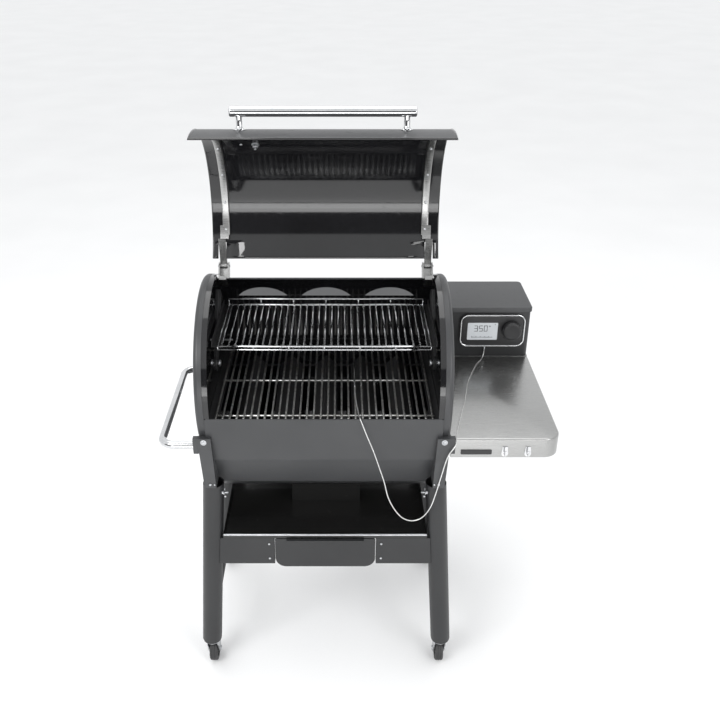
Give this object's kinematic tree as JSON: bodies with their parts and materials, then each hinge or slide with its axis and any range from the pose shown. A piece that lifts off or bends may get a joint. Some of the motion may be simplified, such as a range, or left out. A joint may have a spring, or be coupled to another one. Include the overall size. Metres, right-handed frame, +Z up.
{
  "type": "pellet smoker grill",
  "caption": "Barrel pellet smoker grill on casters with open lid, rear hopper, side table, control box and meat probe.",
  "frame": {"origin": "on the floor under the centre of the grill's outline, measured without the probe cable", "axes": "+Z up, +X to the side table and control box, +Y from the drawer towards the hopper"},
  "size_m": [1.089, 0.7908, 1.6599],
  "materials": {
    "charcoal_enamel": "satin charcoal powder coat over steel",
    "black_enamel": "glossy black porcelain enamel",
    "matt_black_steel": "heat-proof matt black",
    "brushed_steel": "brushed stainless steel",
    "chrome": "bright plated steel",
    "grate_steel": "polished stainless rod",
    "zinc_steel": "zinc plated steel",
    "cast_metal": "cast aluminium, charcoal coat",
    "foil": "pressed aluminium",
    "black_plastic": "moulded black plastic",
    "wheel_plastic": "black tread",
    "display": "backlit display window",
    "cable": "woven steel sheath",
    "pedal_plastic": "moulded pedal"
  },
  "bodies": {
    "root": {"front_legs": "charcoal_enamel", "rear_legs": "charcoal_enamel", "leg_plugs": "black_plastic", "leg_brackets": "cast_metal", "lower_frame": "charcoal_enamel", "front_crossbar": "charcoal_enamel", "heat_shield_tray": "black_enamel", "drawer_rails": "zinc_steel", "cookbox_shell": "black_enamel", "left_end_cap": "charcoal_enamel", "right_end_cap": "charcoal_enamel", "side_plates": "matt_black_steel", "heat_bars": "matt_black_steel", "main_grate": "grate_steel", "upper_grate": "grate_steel", "grate_ledges": "matt_black_steel", "hinge_brackets": "chrome", "hinge_pins": "chrome", "burn_pot": "matt_black_steel", "auger_tube": "zinc_steel", "auger_motor": "matt_black_steel", "fan_housing": "matt_black_steel", "igniter": "zinc_steel", "temp_sensor": "zinc_steel", "hopper_body": "charcoal_enamel", "side_table": "brushed_steel", "table_arms": "charcoal_enamel", "tool_hooks": "chrome", "control_housing": "charcoal_enamel", "control_top": "charcoal_enamel", "control_bezel": "chrome", "display_panel": "display", "probe_ports": "black_plastic", "power_inlet": "black_plastic", "side_rail": "chrome", "probe_plug": "chrome", "probe_cable": "cable", "meat_probe": "chrome"},
    "lid": {"lid_shell": "black_enamel", "lid_straps": "chrome", "lid_arms": "chrome", "lid_handle": "chrome", "lid_fasteners": "chrome"},
    "hopper_lid_body": {"hopper_lid": "charcoal_enamel"},
    "drawer": {"drawer_front": "charcoal_enamel", "drawer_tray": "zinc_steel", "drip_pan": "foil"},
    "knob": {"control_knob": "black_plastic"},
    "front_left_caster": {"front_left_fork": "zinc_steel"},
    "front_right_caster": {"front_right_fork": "zinc_steel"},
    "rear_left_caster": {"rear_left_fork": "zinc_steel"},
    "rear_right_caster": {"rear_right_fork": "zinc_steel"},
    "front_left_roller": {"front_left_wheel": "wheel_plastic"},
    "front_right_roller": {"front_right_wheel": "wheel_plastic"},
    "rear_left_roller": {"rear_left_wheel": "wheel_plastic"},
    "rear_right_roller": {"rear_right_wheel": "wheel_plastic"},
    "left_brake": {"left_brake_lever": "pedal_plastic"},
    "right_brake": {"right_brake_lever": "pedal_plastic"},
    "auger": {"auger_screw": "zinc_steel"},
    "fan": {"fan_impeller": "zinc_steel"}
  },
  "joints": [
    {"name": "lid_hinge", "type": "hinge", "parent": "root", "child": "lid", "pos_m": [-0.0935, 0.0825, 1.154], "axis": [1, 0, 0], "range_deg": [0, 83]},
    {"name": "hopper_lid_hinge", "type": "hinge", "parent": "root", "child": "hopper_lid_body", "pos_m": [-0.0935, 0.3835, 0.98], "axis": [-1, 0, 0], "range_deg": [0, 85]},
    {"name": "drawer_slide", "type": "slide", "parent": "root", "child": "drawer", "axis": [0, -1, 0], "range_m": [0, 0.28]},
    {"name": "knob_turn", "type": "hinge", "parent": "root", "child": "knob", "pos_m": [0.4815, 0.0995, 0.935], "axis": [0, -1, 0], "continuous": true},
    {"name": "auger_turn", "type": "hinge", "parent": "root", "child": "auger", "pos_m": [-0.0935, 0.1175, 0.655], "axis": [0, 1, 0], "continuous": true},
    {"name": "fan_turn", "type": "hinge", "parent": "root", "child": "fan", "pos_m": [-0.2435, 0.1475, 0.645], "axis": [0, 1, 0], "continuous": true},
    {"name": "front_left_swivel", "type": "hinge", "parent": "root", "child": "front_left_caster", "pos_m": [-0.44402, -0.3605, 0.09], "axis": [0, 0, 1], "continuous": true},
    {"name": "front_left_roll", "type": "hinge", "parent": "front_left_caster", "child": "front_left_roller", "pos_m": [-0.44402, -0.3385, 0.038], "axis": [1, 0, 0], "continuous": true},
    {"name": "front_right_swivel", "type": "hinge", "parent": "root", "child": "front_right_caster", "pos_m": [0.25702, -0.3605, 0.09], "axis": [0, 0, 1], "continuous": true},
    {"name": "front_right_roll", "type": "hinge", "parent": "front_right_caster", "child": "front_right_roller", "pos_m": [0.25702, -0.3385, 0.038], "axis": [1, 0, 0], "continuous": true},
    {"name": "rear_left_swivel", "type": "hinge", "parent": "root", "child": "rear_left_caster", "pos_m": [-0.44402, 0.0955, 0.09], "axis": [0, 0, 1], "continuous": true},
    {"name": "rear_left_roll", "type": "hinge", "parent": "rear_left_caster", "child": "rear_left_roller", "pos_m": [-0.44402, 0.1175, 0.038], "axis": [1, 0, 0], "continuous": true},
    {"name": "rear_right_swivel", "type": "hinge", "parent": "root", "child": "rear_right_caster", "pos_m": [0.25702, 0.0955, 0.09], "axis": [0, 0, 1], "continuous": true},
    {"name": "rear_right_roll", "type": "hinge", "parent": "rear_right_caster", "child": "rear_right_roller", "pos_m": [0.25702, 0.1175, 0.038], "axis": [1, 0, 0], "continuous": true},
    {"name": "left_brake_press", "type": "hinge", "parent": "front_left_caster", "child": "left_brake", "pos_m": [-0.44402, -0.3265, 0.084], "axis": [-1, 0, 0], "range_deg": [0, 14]},
    {"name": "right_brake_press", "type": "hinge", "parent": "front_right_caster", "child": "right_brake", "pos_m": [0.25702, -0.3265, 0.084], "axis": [-1, 0, 0], "range_deg": [0, 14]}
  ]
}
